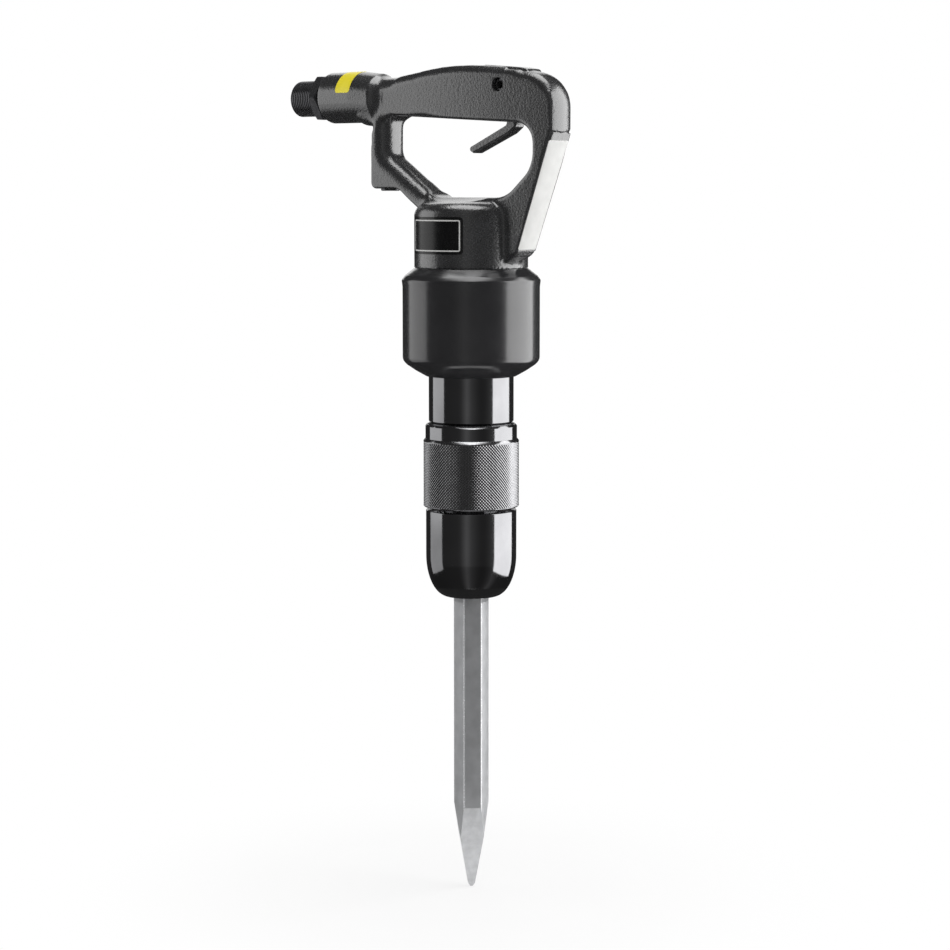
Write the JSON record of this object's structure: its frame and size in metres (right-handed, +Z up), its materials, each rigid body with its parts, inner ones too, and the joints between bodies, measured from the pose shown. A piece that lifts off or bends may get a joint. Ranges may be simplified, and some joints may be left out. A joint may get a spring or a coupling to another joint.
{
  "type": "pneumatic air hammer",
  "caption": "Upright air hammer with a D handle, side air inlet, throttle lever, round exhaust muffler, sliding knurled chisel retainer and a hexagonal point chisel.",
  "frame": {"origin": "on the hammer axis at the height of the grip's middle and of the air inlet", "axes": "+Z up along the hammer axis from the chisel to the grip, +X from the inlet to the spine of the handle, Y across the handle"},
  "size_m": [0.2517, 0.0982, 0.5875],
  "materials": {
    "cast_black": "textured black paint on a casting",
    "satin_black": "satin black paint",
    "gloss_black": "gloss black",
    "dark_steel": "dark oiled steel",
    "steel": "bright steel",
    "forged_steel": "forged bar with a ground point",
    "brass": "turned",
    "rubber": "matt"
  },
  "bodies": {
    "tool_body": {"handle": "cast_black", "inlet_nipple": "dark_steel", "inlet_strainer": "brass", "valve_seat": "brass", "stem_guide": "brass", "valve_spring": "steel", "passage_plug": "dark_steel", "lever_pin": "steel", "barrel": "gloss_black", "exhaust_muffler": "satin_black", "chest_lower": "steel", "chest_upper": "steel", "chest_dowel": "steel", "socket_seal": "rubber", "retainer_body": "dark_steel", "sleeve_spring": "steel", "front_bush": "brass", "nose_cap": "gloss_black", "dust_seal": "rubber"},
    "lever": {"throttle_lever": "cast_black"},
    "throttle_poppet": {"throttle_valve": "steel"},
    "disc": {"valve_disc": "steel"},
    "hammer_piston": {"piston": "steel"},
    "sleeve": {"knurled_sleeve": "dark_steel"},
    "ball_1": {"retaining_ball_1": "steel"},
    "ball_2": {"retaining_ball_2": "steel"},
    "ball_3": {"retaining_ball_3": "steel"},
    "bit": {"chisel": "forged_steel"}
  },
  "joints": [
    {"name": "lever_hinge", "type": "hinge", "parent": "tool_body", "child": "lever", "pos_m": [0.0344, 0, 0.0054], "axis": [0, 1, 0], "range_deg": [0, 18], "stiffness_Nm_per_rad": 0.3, "springref_deg": -17.19},
    {"name": "throttle_slide", "type": "slide", "parent": "tool_body", "child": "throttle_poppet", "axis": [-1, 0, 0], "range_m": [0, 0.0024], "deforming": ["valve_spring"]},
    {"name": "disc_slide", "type": "slide", "parent": "tool_body", "child": "disc", "axis": [0, 0, 1], "range_m": [0, 0.0015]},
    {"name": "piston_slide", "type": "slide", "parent": "tool_body", "child": "hammer_piston", "axis": [0, 0, 1], "range_m": [0, 0.055]},
    {"name": "sleeve_slide", "type": "slide", "parent": "tool_body", "child": "sleeve", "axis": [0, 0, 1], "range_m": [0, 0.008], "stiffness_N_per_m": 800, "springref_m": -0.006, "deforming": ["sleeve_spring"]},
    {"name": "ball_1_slide", "type": "slide", "parent": "tool_body", "child": "ball_1", "axis": [0.729, -0.6845, 0], "range_m": [0, 0.0026]},
    {"name": "ball_2_slide", "type": "slide", "parent": "tool_body", "child": "ball_2", "axis": [0.2284, 0.9736, 0], "range_m": [0, 0.0026]},
    {"name": "ball_3_slide", "type": "slide", "parent": "tool_body", "child": "ball_3", "axis": [-0.9573, -0.289, 0], "range_m": [0, 0.0026]},
    {"name": "chisel_slide", "type": "slide", "parent": "tool_body", "child": "bit", "axis": [0, 0, 1], "range_m": [0, 0.008]}
  ],
  "couplings": [
    {"joint": "throttle_slide", "follows": "lever_hinge", "m_per_rad": 0.00735},
    {"joint": "ball_1_slide", "follows": "sleeve_slide", "ratio": 0.3125},
    {"joint": "ball_2_slide", "follows": "sleeve_slide", "ratio": 0.3125},
    {"joint": "ball_3_slide", "follows": "sleeve_slide", "ratio": 0.3125}
  ]
}
